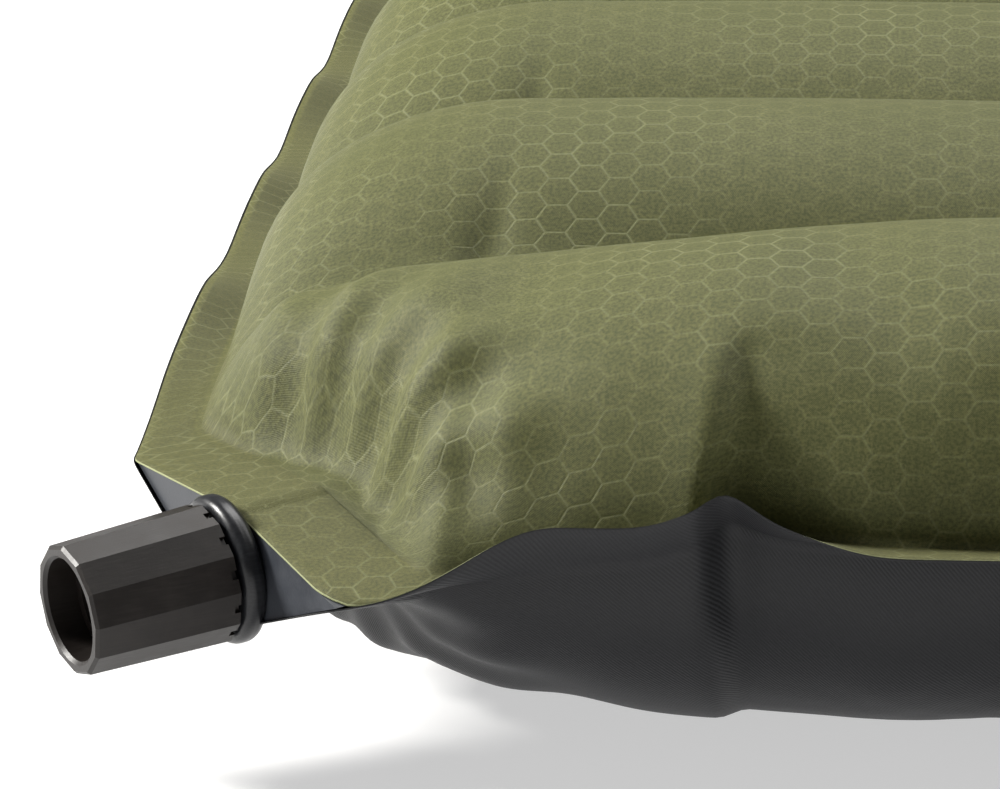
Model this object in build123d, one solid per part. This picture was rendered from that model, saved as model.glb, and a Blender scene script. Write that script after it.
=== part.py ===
"""Inflatable sleeping pad with lengthwise air tubes and a twist valve at one corner.

Sizes are in millimetres. The pad lies along X, its width is along Y and it stands on Z = 0,
with the origin on the floor under the middle of the pad. The valve sits in a cut corner at
low X and low Y, and its own axis points out of the pad and a little downwards.
"""

from build123d import *
import math
import os

# Pad, measured inflated
PAD_LENGTH = 1830.0          # over the welded rim
PAD_WIDTH = 520.0            # over the welded rim
PAD_THICKNESS = 75.0         # over the tubes
TUBE_COUNT = 7
RIM_WIDTH = 8.0              # flat weld band round the air space
SKIN = 0.6                   # laminated fabric, each side
FLOOR_SAG = 0.3              # how far a tube flattens where it lies on the floor
END_TAPER = 60.0             # length over which a tube's end closes down to the rim
NOSE_SPARE = 0.2             # keeps the shape that rounds the ends just off the tubes' crests
VALVE_CUT_X = 36.0           # cut corner that holds the valve: how much it takes off the side
VALVE_CUT_Y = 52.0           # and off the end
PLAIN_CUT = 36.0             # the same for the air space at the three plain corners

# Inside the pad
WEB = 0.5                    # wall between two tubes
WEB_HEIGHT = 23.8            # between the bottoms of the valleys that it ties together
WEB_END_GAP = 75.0           # web stops this far short of the rim so that air can pass
LINING = 4.0                 # insulation laid against the inside of a tube
LINING_GAP = 0.4             # between insulation and skin
LINING_SIDE_GAP = 5.0        # between insulation and web
LINING_END_GAP = 84.0

# Valve, in its own frame: Z = 0 on the collar's front face, +Z out of the pad
VALVE_DROOP = 5.0            # how far the axis points below the horizontal, in degrees
VALVE_DROP = 11.2            # how far the collar's centre hangs below the rim
VALVE_STANDOFF = 3.1         # collar front face outside the cut corner's edge
NECK_WALL = 3.0
NECK_LENGTH = 26.0
COLLAR_LENGTH = 3.6
COLLAR_LEDGE = 0.65          # how far the collar stands proud of the cap's corners
COLLAR_ROUND = 1.5
COLLAR_CLEARANCE = 0.3       # between the collar and the rim

# Screw track that lifts the cap
TRACK_PITCH = 6.0            # lift for one whole turn
CAP_TURN = 270.0             # degrees from shut to fully open
TRACK_COUNT = 2
TRACK_START = 2.2            # height of the track's middle where the cap is shut
TRACK_DEPTH = 1.0
LUG_HEIGHT = 1.4
LUG_WIDTH = 1.6
LUG_ROUND = 0.4
LUG_ROOT = 0.5               # how deep a lug is rooted in the skirt
TRACK_CLEARANCE = 0.25       # between lug and track, on each side

# O-rings: section radius and the bare clearance they keep from the face they seal on
SEAL_SECTION = 0.9
SEAL_CLEARANCE = 0.1

# Barrel, which stands inside the cap's skirt
BARREL_CLEARANCE = 0.7       # between barrel and skirt
BARREL_WALL = 1.6
BARREL_LAND = 0.7            # solid ring between the tracks and the seal
BARREL_NOSE = 1.7            # from the seal to the barrel's front edge
BARREL_CHAMFER = 0.5

# Cap
CAP_SIDES = 12
CAP_GAP = 0.6                # between the shut cap and the collar
CAP_SKIRT_R = 7.3            # inside of the skirt
CAP_DRAFT = 0.65             # how much the cap narrows from its rear to its front
CAP_EDGE = 0.45              # chamfer of the front edge
CAP_NOTCH_WIDTH = 1.3        # moulding notches in the rear edge
CAP_NOTCH_DEPTH = 0.7
CAP_NOTCH_LENGTH = 0.9
MOUTH_R = 7.5
MOUTH_DEPTH = 5.0
MOUTH_EDGE = 0.5
MOUTH_WALL = 2.1             # from the mouth to the front face's corners
FRONT_WALL = 1.5             # between the mouth's floor and the seat ring's pocket
THROAT_STEP = 0.7            # throat outside the seat ring's hole

# Seat ring, which rides in the cap and seals on the plug
SEAT_CLEARANCE = 0.2         # between ring and pocket wall
SEAT_END_GAP = 0.15
SEAT_WIDTH = 1.9
SEAT_THICKNESS = 2.0
SEAT_LIP = 0.5               # lip that holds the ring in its pocket
SEAT_LIP_THICKNESS = 0.6
SEAT_BARREL_GAP = 1.5        # between the shut cap's lip and the barrel

# Plug on its spider, fixed in the barrel
SPIDER_LENGTH = 3.5
SPIDER_SETBACK = 1.0         # spider behind the barrel's front edge
SPIDER_WALL = 0.7
SPOKE_COUNT = 3
SPOKE_WIDTH = 1.2
POST_R = 1.5
PLUG_CLEARANCE = 0.6         # between the plug's head and the seat ring
PLUG_THICKNESS = 3.5
PLUG_FACE_SETBACK = 0.7      # plug's face below the mouth's floor
PLUG_DIMPLE_R = 1.7
PLUG_DIMPLE_DEPTH = 0.7
PLUG_ROUND = 0.4

# Worked out: the pad. Each tube is an ellipse that meets its neighbours at a web.
FAR = 2 * PAD_LENGTH
TUBE_R = (PAD_THICKNESS + FLOOR_SAG) / 2
MID = PAD_THICKNESS - TUBE_R
OVERLAP = math.sqrt(1 - (WEB_HEIGHT / 2 / TUBE_R) ** 2)
TUBE_PITCH = (PAD_WIDTH - 2 * RIM_WIDTH) / (TUBE_COUNT - 1 + 1 / OVERLAP)
TUBE_HALF = TUBE_PITCH / 2 / OVERLAP
TUBES = [(k - (TUBE_COUNT - 1) / 2) * TUBE_PITCH for k in range(TUBE_COUNT)]
PLAIN_ROUND = PLAIN_CUT / (2 - math.sqrt(2))

# Worked out: the valve's radii
BARREL_R = CAP_SKIRT_R - BARREL_CLEARANCE
BARREL_BORE_R = BARREL_R - BARREL_WALL
BARREL_SEAL_R = CAP_SKIRT_R - SEAL_CLEARANCE - SEAL_SECTION
NECK_R = BARREL_BORE_R + NECK_WALL
CAP_FRONT_R = MOUTH_R + MOUTH_WALL
CAP_REAR_R = CAP_FRONT_R + CAP_DRAFT
COLLAR_R = CAP_REAR_R + COLLAR_LEDGE
SEAT_OUTER_R = CAP_SKIRT_R - SEAT_CLEARANCE
SEAT_INNER_R = SEAT_OUTER_R - SEAT_WIDTH
SEAT_LIP_R = CAP_SKIRT_R - SEAT_LIP
THROAT_R = SEAT_INNER_R + THROAT_STEP
PLUG_R = SEAT_INNER_R - PLUG_CLEARANCE
PLUG_SEAL_R = SEAT_INNER_R - SEAL_CLEARANCE - SEAL_SECTION

# Worked out: the valve's heights, from the collar outwards
CAP_LIFT = TRACK_PITCH * CAP_TURN / 360
LUG_ANGLE = math.degrees((LUG_WIDTH / 2 + TRACK_CLEARANCE) / (BARREL_R - TRACK_DEPTH))
LUG_RISE = TRACK_PITCH * LUG_ANGLE / 360
TRACK_TOP = TRACK_START + CAP_LIFT + LUG_RISE + LUG_HEIGHT / 2 + TRACK_CLEARANCE
BARREL_SEAL_HEIGHT = TRACK_TOP + BARREL_LAND + SEAL_SECTION
BARREL_LENGTH = BARREL_SEAL_HEIGHT + SEAL_SECTION + BARREL_NOSE
LIP_BACK = BARREL_LENGTH + SEAT_BARREL_GAP
POCKET_BACK = LIP_BACK + SEAT_LIP_THICKNESS
SEAT_BACK = POCKET_BACK + SEAT_END_GAP
SEAT_FRONT = SEAT_BACK + SEAT_THICKNESS
POCKET_FRONT = SEAT_FRONT + SEAT_END_GAP
MOUTH_FLOOR = POCKET_FRONT + FRONT_WALL
CAP_FRONT = MOUTH_FLOOR + MOUTH_DEPTH
PLUG_FACE = MOUTH_FLOOR - PLUG_FACE_SETBACK
PLUG_BACK = PLUG_FACE - PLUG_THICKNESS
PLUG_SEAL_HEIGHT = (SEAT_FRONT + SEAT_BACK) / 2


def corner(sign_x, sign_y):
    """Middle of a corner's cut in plan, and the bearing that the cut faces, in degrees."""
    at_valve = sign_x < 0 and sign_y < 0
    cut_x = VALVE_CUT_X if at_valve else PLAIN_CUT
    cut_y = VALVE_CUT_Y if at_valve else PLAIN_CUT
    x = sign_x * (PAD_LENGTH - cut_x) / 2
    y = sign_y * (PAD_WIDTH - cut_y) / 2
    return x, y, math.degrees(math.atan2(sign_y * cut_x, sign_x * cut_y))


def valve_frame():
    """Places a shape drawn in the valve's own frame, which is square to the cut corner."""
    x, y, bearing = corner(-1, -1)
    turn, droop = math.radians(bearing), math.radians(VALVE_DROOP)
    level = Vector(math.cos(turn), math.sin(turn), 0)
    side = Vector(-math.sin(turn), math.cos(turn), 0)
    axis = level * math.cos(droop) - Vector(0, 0, math.sin(droop))
    centre = Vector(x, y, MID - VALVE_DROP) + axis * VALVE_STANDOFF
    return Plane(origin=centre, x_dir=side, z_dir=axis)


VALVE = valve_frame()


def place(shape):
    """Moves a valve piece from its own frame to its place on the pad."""
    return VALVE.location * shape


def both_ways(sketch, half):
    """Draws a sketch out by the same distance on each side of its plane."""
    return extrude(sketch, half, both=True)


def bank(inset):
    """The tubes' profile drawn out along X; inset is how far inside the outer face."""
    row = Sketch()
    for y in TUBES:
        row += Pos(y, MID) * Ellipse(TUBE_HALF - inset, TUBE_R - inset)
    row -= Pos(0, inset - FAR / 2) * Rectangle(FAR, FAR)
    return Plane.YZ * both_ways(row, PAD_LENGTH / 2)


def nose(inset):
    """Everything behind a rounded end whose rim edge is at X = 0."""
    centre = -RIM_WIDTH - END_TAPER
    half_height = TUBE_R + NOSE_SPARE
    profile = Pos(centre - FAR / 2, 0) * Rectangle(FAR, 2 * (half_height - inset))
    profile += Pos(centre, 0) * Ellipse(END_TAPER - inset, half_height - inset)
    return Plane.XZ * both_ways(profile, FAR / 2)


def air_body(inset):
    """The inflated space, inset from the outer face of the skins."""
    body = bank(inset)
    for sign_x in (1, -1):
        for sign_y in (1, -1):
            x, y, bearing = corner(sign_x, sign_y)
            body &= Pos(x, y, MID) * Rot(0, 0, bearing) * nose(inset)
    for sign, turn in ((1, 0), (-1, 180)):
        body &= Pos(sign * PAD_LENGTH / 2, 0, MID) * Rot(0, 0, turn) * nose(inset)
    return body


def rim(low, high):
    """The flat weld band between two heights, filled in the middle."""
    plate = Rectangle(PAD_LENGTH, PAD_WIDTH)
    plain_corners = sorted(plate.vertices(), key=lambda vertex: vertex.X + vertex.Y)[1:]
    plate = fillet(plain_corners, PLAIN_ROUND)
    x, y, bearing = corner(-1, -1)
    reach = VALVE_CUT_X + VALVE_CUT_Y
    plate -= Pos(x, y) * Rot(0, 0, bearing) * Pos(reach / 2, 0) * Rectangle(reach, 2 * reach)
    return Pos(0, 0, low) * extrude(plate, high - low)


def half_space(above):
    """Everything above or below the seam."""
    height = MID + FAR / 2 if above else MID - FAR / 2
    return Pos(0, 0, height) * Box(FAR, FAR, FAR)


def tube(radius, low, high):
    """The same cylinder as disc makes, at the valve's place on the pad."""
    return place(disc(radius, low, high))


def skins(inner):
    """Top and bottom skins, each with its half of the rim; the bottom one sleeves the neck."""
    outer = air_body(0)
    shell = outer - inner
    top = (shell & half_space(True)) + (rim(MID, MID + SKIN) - outer)
    bottom = (shell & half_space(False)) + (rim(MID - SKIN, MID) - outer)
    bottom += tube(NECK_R + SKIN, -NECK_LENGTH, -COLLAR_LENGTH) - outer
    bottom -= tube(NECK_R, -NECK_LENGTH - END_TAPER / 2, 0)
    collar_room = COLLAR_R + COLLAR_CLEARANCE
    top -= tube(collar_room, -COLLAR_LENGTH, COLLAR_LENGTH)
    bottom -= tube(collar_room, -COLLAR_LENGTH, COLLAR_LENGTH)
    return top, bottom


def webs(inner):
    """Walls between the tubes, cut to the inside of the skins."""
    made = []
    length = PAD_LENGTH - 2 * WEB_END_GAP
    for low, high in zip(TUBES, TUBES[1:]):
        wall = Pos(0, (low + high) / 2, MID) * Box(length, WEB, PAD_THICKNESS)
        made.append(wall & inner)
    return made


def linings():
    """Two curved strips of insulation in each tube, against the top and the bottom."""
    inset = SKIN + LINING_GAP
    ring = Ellipse(TUBE_HALF - inset, TUBE_R - inset)
    ring -= Ellipse(TUBE_HALF - inset - LINING, TUBE_R - inset - LINING)
    room = TUBE_PITCH - WEB - 2 * LINING_SIDE_GAP
    strips = ring & Rectangle(room, PAD_THICKNESS)
    strips -= Rectangle(room, WEB_HEIGHT)
    strips -= Pos(0, inset - MID - PAD_THICKNESS / 2) * Rectangle(room, PAD_THICKNESS)
    half = PAD_LENGTH / 2 - LINING_END_GAP
    return [Pos(0, y, MID) * (Plane.YZ * both_ways(strips, half)) for y in TUBES]


def track(start, run):
    """One helical track round the barrel, starting on +X."""
    path = Helix(TRACK_PITCH, run, BARREL_R, center=(0, 0, start))
    section = Plane(origin=path @ 0, x_dir=(1, 0, 0), z_dir=path % 0)
    section *= Rectangle(2 * TRACK_DEPTH, LUG_HEIGHT + 2 * TRACK_CLEARANCE)
    return sweep(section, path=path, is_frenet=True)


def tracks():
    """Screw tracks cut into the barrel."""
    one = Rot(0, 0, -LUG_ANGLE) * track(TRACK_START - LUG_RISE, CAP_LIFT + 2 * LUG_RISE)
    return [Rot(0, 0, 360 / TRACK_COUNT * k) * one for k in range(TRACK_COUNT)]


def disc(radius, low, high):
    """Solid cylinder between two heights of the valve's own frame."""
    return Pos(0, 0, (low + high) / 2) * Cylinder(radius, high - low)


def o_ring(radius, height):
    return Pos(0, 0, height) * Torus(radius, SEAL_SECTION)


def housing():
    """Neck, collar and barrel in one moulding, bored through."""
    collar = disc(COLLAR_R, -COLLAR_LENGTH, 0)
    collar = fillet(collar.edges().filter_by(GeomType.CIRCLE), COLLAR_ROUND)
    barrel = disc(BARREL_R, 0, BARREL_LENGTH)
    barrel = chamfer(barrel.edges().sort_by(Axis.Z)[-1], BARREL_CHAMFER)
    body = disc(NECK_R, -NECK_LENGTH, 0) + collar + barrel
    body -= disc(BARREL_BORE_R, -NECK_LENGTH, BARREL_LENGTH)
    body -= o_ring(BARREL_SEAL_R, BARREL_SEAL_HEIGHT)
    for cut in tracks():
        body -= cut
    return body


def stem_plug():
    """Spider ring, spokes, post and plug head."""
    top = BARREL_LENGTH - SPIDER_SETBACK
    low = top - SPIDER_LENGTH
    body = disc(BARREL_BORE_R, low, top) - disc(BARREL_BORE_R - SPIDER_WALL, low, top)
    reach = BARREL_BORE_R - SPIDER_WALL / 2
    for k in range(SPOKE_COUNT):
        spoke = Pos(reach / 2, 0, (low + top) / 2) * Box(reach, SPOKE_WIDTH, SPIDER_LENGTH)
        body += Rot(0, 0, 360 / SPOKE_COUNT * k) * spoke
    body += disc(POST_R, low, PLUG_BACK)
    head = disc(PLUG_R, PLUG_BACK, PLUG_FACE)
    head = fillet(head.edges().sort_by(Axis.Z)[-1], PLUG_ROUND)
    head -= disc(PLUG_DIMPLE_R, PLUG_FACE - PLUG_DIMPLE_DEPTH, PLUG_FACE)
    head -= o_ring(PLUG_SEAL_R, PLUG_SEAL_HEIGHT)
    return body + head


def seat_ring():
    """Soft washer that the cap carries up and down the plug."""
    return disc(SEAT_OUTER_R, SEAT_BACK, SEAT_FRONT) - disc(SEAT_INNER_R, SEAT_BACK, SEAT_FRONT)


def lugs():
    """Lugs inside the cap's skirt, one in each track."""
    inner = BARREL_R - TRACK_DEPTH + TRACK_CLEARANCE
    depth = CAP_SKIRT_R + LUG_ROOT - inner
    lug = Pos(inner + depth / 2, 0, TRACK_START) * Box(depth, LUG_WIDTH, LUG_HEIGHT)
    lug = fillet(lug.edges().filter_by(Axis.X), LUG_ROUND)
    return [Rot(0, 0, 360 / TRACK_COUNT * k) * lug for k in range(TRACK_COUNT)]


def cap():
    """Faceted twist cap with the mouth in its front face."""
    rear = Pos(0, 0, CAP_GAP) * RegularPolygon(CAP_REAR_R, CAP_SIDES)
    front = Pos(0, 0, CAP_FRONT) * RegularPolygon(CAP_FRONT_R, CAP_SIDES)
    body = loft([rear, front])
    body = chamfer(body.faces().sort_by(Axis.Z)[-1].edges(), CAP_EDGE)
    body -= disc(CAP_SKIRT_R, CAP_GAP, LIP_BACK)
    body -= disc(SEAT_LIP_R, LIP_BACK, POCKET_BACK)
    body -= disc(CAP_SKIRT_R, POCKET_BACK, POCKET_FRONT)
    body -= disc(THROAT_R, POCKET_FRONT, MOUTH_FLOOR)
    body -= disc(MOUTH_R, MOUTH_FLOOR, CAP_FRONT)
    flare = Cone(MOUTH_R, MOUTH_R + MOUTH_EDGE, MOUTH_EDGE)
    body -= Pos(0, 0, CAP_FRONT - MOUTH_EDGE / 2) * flare
    for lug in lugs():
        body += lug
    flat = CAP_REAR_R * math.cos(math.pi / CAP_SIDES)
    notch = Box(2 * CAP_NOTCH_DEPTH, CAP_NOTCH_WIDTH, 2 * CAP_NOTCH_LENGTH)
    for k in range(CAP_SIDES):
        body -= Rot(0, 0, 360 / CAP_SIDES * (k + 0.5)) * Pos(flat, 0, CAP_GAP) * notch
    return body


def pieces():
    """Every node's name and shape, in the pad's own frame."""
    inner = air_body(SKIN)
    made = {}
    made["top_skin"], made["bottom_skin"] = skins(inner)
    for number, web in enumerate(webs(inner), 1):
        made[f"baffle_web_{number}"] = web
    for number, lining in enumerate(linings(), 1):
        made[f"insulation_{number}"] = lining
    made["valve_housing"] = place(housing())
    made["barrel_seal"] = place(o_ring(BARREL_SEAL_R, BARREL_SEAL_HEIGHT))
    made["stem_plug"] = place(stem_plug())
    made["plug_seal"] = place(o_ring(PLUG_SEAL_R, PLUG_SEAL_HEIGHT))
    made["seat_ring"] = place(seat_ring())
    made["valve_cap"] = place(cap())
    return made


def main():
    """Stands the pad on the floor with its whole box centred, and writes each node."""
    os.makedirs("parts", exist_ok=True)
    made = pieces()
    box = Compound(list(made.values())).bounding_box()
    centre = box.center()
    stand = Pos(-centre.X, -centre.Y, -box.min.Z)
    for name, shape in made.items():
        placed = stand * shape
        placed.label = name
        export_step(placed, f"parts/{name}.step")
    mouth = stand * VALVE.location * Pos(0, 0, CAP_FRONT)
    print("middle of the mouth's edge", mouth.position, "valve axis", VALVE.z_dir)
    print("cap lift", CAP_LIFT, "tube pitch", TUBE_PITCH, "tube half width", TUBE_HALF)


main()
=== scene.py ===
"""Inflatable sleeping pad with lengthwise air tubes and a twist valve at one corner.

All sizes are in metres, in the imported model's own frame: the pad lies along X, its width is
along Y, it stands on Z = 0, and the valve is at the corner of low X and low Y.
"""

import functools
import math

import bmesh
import bpy
import numpy as np
from bpy.props import FloatProperty, FloatVectorProperty, IntProperty, PointerProperty
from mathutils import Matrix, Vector


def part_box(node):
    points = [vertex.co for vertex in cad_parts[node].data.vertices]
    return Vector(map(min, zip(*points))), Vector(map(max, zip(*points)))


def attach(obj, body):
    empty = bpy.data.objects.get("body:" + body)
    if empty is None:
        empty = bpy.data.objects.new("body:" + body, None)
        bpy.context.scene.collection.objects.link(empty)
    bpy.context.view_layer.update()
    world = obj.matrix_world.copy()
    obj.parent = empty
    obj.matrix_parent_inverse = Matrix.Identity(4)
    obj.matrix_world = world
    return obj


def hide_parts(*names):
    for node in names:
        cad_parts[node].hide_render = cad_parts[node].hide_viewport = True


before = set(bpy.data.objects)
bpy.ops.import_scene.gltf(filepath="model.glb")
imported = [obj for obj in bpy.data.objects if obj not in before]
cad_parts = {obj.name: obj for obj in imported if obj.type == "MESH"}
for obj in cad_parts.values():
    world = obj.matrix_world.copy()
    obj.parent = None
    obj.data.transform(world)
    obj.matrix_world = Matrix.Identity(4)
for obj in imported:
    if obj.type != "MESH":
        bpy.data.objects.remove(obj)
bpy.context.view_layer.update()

bl_info = {
    "name": "Inflatable Sleeping Pad",
    "version": (1, 0, 0),
    "blender": (4, 5, 0),
    "location": "3D View > Sidebar > Sleeping Pad",
    "description": "Builds the pad's fabric, inner webs, valve and studio round a fixed frame",
    "category": "Object",
}

MM = 0.001
TOP_LOW, TOP_HIGH = (np.array(corner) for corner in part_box("top_skin"))
OUTLINE = TOP_LOW[:2]  # corner of the welded outline at the valve
PAD_LENGTH, PAD_WIDTH = (TOP_HIGH - TOP_LOW)[:2]
SEAM_Z = TOP_LOW[2]  # height of the weld
TUBE_R = TOP_HIGH[2] - SEAM_Z

RIM = 8 * MM  # width of the weld along the sides and ends
NECK_RIM = 14 * MM  # and across the cut corner
CUT = np.array((36, 52)) * MM  # the cut corner takes this off the side and the end
CUT_LONG = float(np.hypot(*CUT))
CUT_MIDDLE = OUTLINE + CUT / 2
CUT_ALONG = np.array((CUT[0], -CUT[1])) / CUT_LONG  # along the cut, towards the near side
CUT_OUT = np.array((-CUT[1], -CUT[0])) / CUT_LONG  # square to it, out of the pad
CORNER_ROUND = 53 * MM  # air space's radius at the three plain corners

NECK_FACE_Z = 25.9 * MM  # the valve's axis at the collar's front face
NECK_FACE_OUT = 3.1 * MM  # the face stands this far outside the cut
NECK_SLOPE = math.tan(math.radians(5))
NECK_WRAP = 8.75 * MM  # radius of the fabric wrapped round the neck
TIP_Z = np.array((29.0, 33.5)) * MM  # the cut's two ends, near and far
TIP_SLOPE, TIP_REACH = 0.06, 0.03  # the weld rises this steeply, this far in from the tips
ON_CUT = 0.2 * MM  # points closer than this lie on the cut's weld
START_FILL = 0.97  # the start shape's share of the full tube
START_NECK = 9 * MM  # how fast the start shape leaves the neck

LOW_OVERHANG = 0.35 * MM  # the bottom sheet shows this far past the top one
BOAT_INSET, BOAT_FRONT, BOAT_BACK = 0.8 * MM, 0.3 * MM, 12.5 * MM
DRAG_TURN = -0.6055  # the valve's axis in plan, for its drag marks

NEAR_COLUMNS, MIDDLE_COLUMNS, LAST_COLUMNS = [30, 22, 18], 14, 18  # mesh steps round each tube
FINE_ROW, MIDDLE_ROW, FAR_ROW = 2.4 * MM, 26.0 * MM, 9.0 * MM  # mesh steps along the pad
FINE_REACH, FAR_REACH, ROW_FADE = 0.13, 0.12, 0.3

WELD_HALF_GAP = 0.14 * MM
WELD_STEPS = (0.3, 0.65, 1.0)  # rows of the weld band, as shares of its width
SEAM_CREASE, EDGE_CREASE = 0.55, 0.8
FILM_STEP, FILM_THICK = (0, 0, 0.4 * MM), 0.3 * MM
FLEECE_GAP, FLEECE_THICK, FLEECE_END = 3.2 * MM, 3 * MM, 0.09

SHOULDER = CUT_MIDDLE + np.array((26, 22)) * MM  # the corner evened out after inflation
RELAX_REACH, RELAX_SHARE, RELAX_ROUNDS = 36 * MM, 0.8, (40, 15)
SECOND_TUBE = 112  # the cut's millimetres from the near weld, where the second tube starts
END_SINK, LATER_SINK, WELD_HANG, FLANK_TURN = 4.6, 1.2, 5.2, 4.0  # all these in mm
PUCKER_PROUD, PUCKER_FOLDED, PUCKER_HOLLOW, PUCKER_PEAK = 6.6, -2.4, 1.6, 2.8
TOP_PUCKER_REACH, LOW_PUCKER_REACH = 35, 80
FAN_HIGH, GROOVE_DEEP, GROOVE_LIP, WALL_CREASE = 1.1, 2.4, 1.0, 2.6
BOAT_REACH, BOAT_FADE = 17.5, 6.5
RIM_PEAK_UP, RIM_PEAK_OUT = 1.4 * MM, 2.5 * MM

# place from the end, place up from the weld, half width, depth (mm; a depth below 0 is a swell)
TOP_DENTS = (
    (104, 50, 8, 1.4), (112, 36, 6, 1.0), (58, 62, 9, 0.9), (70, 30, 9, -1.0), (130, 36, 14, -0.7),
    (36, 52, 5, 1.3), (47, 44, 5, -1.1), (52, 26, 4, 1.5), (58, 22, 4, -1.0),
    (160, 40, 11, 0.9), (205, 36, 15, 1.0), (262, 30, 14, 0.8), (330, 40, 20, 1.0),
)
BOTTOM_DENTS = (
    (46, 14, 4.5, 3.2), (56, 16, 8, -2.0), (72, 22, 8, -1.5), (68, 62, 7, 2.2), (56, 50, 7, -1.0),
    (112, 20, 9, -1.6), (128, 56, 10, 1.6), (160, 12, 8, 1.2), (215, 14, 10, -0.8), (290, 16, 12, 1.0),
)
# bearing from the neck and half width (radians), reach and height (mm)
NECK_FOLDS = (
    (-1.15, 0.10, 44, 2.6), (-0.78, 0.09, 50, 2.4), (-0.42, 0.08, 46, 2.0), (-0.02, 0.08, 38, 1.4),
    (0.42, 0.09, 46, 2.6), (0.72, 0.07, 52, 2.8), (0.98, 0.07, 46, 2.2), (1.2, 0.06, 60, 1.6),
)
# lights: name, place, size, power, colour
LIGHTS = (
    ("key", (-2.1, 0.0, 0.78), 0.32, 47, (1.0, 0.98, 0.94)),
    ("top", (-0.75, 0.5, 1.5), 0.8, 19, (1.0, 0.99, 0.97)),
    ("side", (-1.7, -1.2, 0.4), 0.4, 0.5, (0.92, 0.96, 1.0)),
    ("far", (0.5, 0.5, 2.2), 1.8, 34, (1.0, 0.99, 0.97)),
)
FLOOR_HALF = 9
FLOOR_TONE, FLOOR_GLOW, WORLD_GLOW = 0.52, 0.54, 0.13
SHEETS = {}  # the layout and the inflated points, once made


def smooth(x):
    """Soft step from 0 to 1 over x = 0 to 1."""
    x = np.clip(x, 0, 1)
    return x * x * (3 - 2 * x)


# ---- the fabric's cut and layout

def column_layout(pad):
    """Columns across one sheet, from weld to weld: flat place, inflated place and height."""
    count = pad.tube_count
    wide = PAD_WIDTH - 2 * RIM
    half_web = pad.web_height / 2
    tilt = math.asin(half_web / TUBE_R)
    pitch = wide / (count - 1 + 1 / math.cos(tilt))
    half = pitch / 2 / math.cos(tilt)
    segments = NEAR_COLUMNS + [MIDDLE_COLUMNS] * (count - 4) + [LAST_COLUMNS]
    flat, across, height, valleys = [0.0], [0.0], [0.0], []
    for tube in range(count):
        low = 0 if tube == 0 else tilt
        high = math.pi if tube == count - 1 else math.pi - tilt
        centre = wide / 2 + (tube - (count - 1) / 2) * pitch
        start = flat[-1]
        for step in range(1, segments[tube] + 1):
            turn = low + (high - low) * step / segments[tube]
            flat.append(start + TUBE_R * (high - low) * step / segments[tube])
            across.append(centre - half * math.cos(turn))
            height.append(TUBE_R * math.sin(turn))
        if tube < count - 1:
            valleys.append(len(flat) - 1)
    return np.array(flat), np.array(across), np.array(height), valleys


def row_layout(pad):
    """Rows along one sheet, from weld to weld, close together at the valve's end."""
    length = PAD_LENGTH - 2 * RIM + pad.spare_length
    rows = [0.0]
    while rows[-1] < length:
        place = rows[-1]
        fine, share = FINE_ROW, (place - FINE_REACH) / ROW_FADE
        if place > length / 2:
            fine, share = FAR_ROW, (length - FAR_REACH - place) / ROW_FADE
        step = fine + (MIDDLE_ROW - fine) * min(1, max(0, share))
        rows.append(place + step)
    return np.array(rows) * length / rows[-1]


def cut_corner(plan, cut):
    """Moves a plan's points away from its origin so that its corner becomes a straight cut."""
    reach = cut[0] * cut[1] / (cut[0] + cut[1])
    share = np.clip(1 - plan[..., 0] / cut[0], 0, 1) * np.clip(1 - plan[..., 1] / cut[1], 0, 1)
    return plan + share[..., None] * reach


def round_corner(plan, radius):
    """Moves a plan's points so that the square corner at its origin becomes round."""
    u, v = (np.clip(1 - plan[..., axis] / radius, 0, 1) for axis in (0, 1))
    inside = (u > 0) & (v > 0)
    bent = np.stack((u * np.sqrt(1 - v * v / 2), v * np.sqrt(1 - u * u / 2)), -1)
    return np.where(inside[..., None], radius * (1 - bent), plan)


def plan_shape(plan, size, cut):
    """A rectangle's plan with the valve's corner cut and the other three rounded."""
    plan = cut_corner(plan, cut)
    for flip in (np.array((1, 0)), np.array((0, 1)), np.array((1, 1))):
        turned = round_corner(np.where(flip, size - plan, plan), CORNER_ROUND)
        plan = np.where(flip, size - turned, turned)
    return plan


def inner_cut():
    """What the cut corner takes off the air space, along the side and along the end."""
    reach = CUT[0] * CUT[1] + NECK_RIM * CUT_LONG
    return np.array(((reach - RIM * CUT[0]) / CUT[1] - RIM, (reach - RIM * CUT[1]) / CUT[0] - RIM))


def neck_lens(plan, half_long):
    """Middle height and half opening of the fabric round the neck, over points in plan."""
    offset = plan - CUT_MIDDLE
    along, inward = offset @ CUT_ALONG, -(offset @ CUT_OUT)
    axis_z = NECK_FACE_Z + NECK_SLOPE * (inward + NECK_FACE_OUT)
    turn = NECK_WRAP ** 2 / half_long
    side = np.clip((np.abs(along) - turn) / (half_long - turn), 0, 1)
    tip_z = np.where(along > 0, TIP_Z[0], TIP_Z[1]) + TIP_SLOPE * np.clip(inward, 0, TIP_REACH)
    middle = axis_z + (tip_z - axis_z) * side
    edge = NECK_WRAP * math.sqrt(1 - (NECK_WRAP / half_long) ** 2)
    round_part = np.sqrt(np.clip(NECK_WRAP ** 2 - along ** 2, 0, None))
    opening = np.where(np.abs(along) < turn, round_part, edge * (1 - side))
    return middle, opening, along, inward


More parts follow.
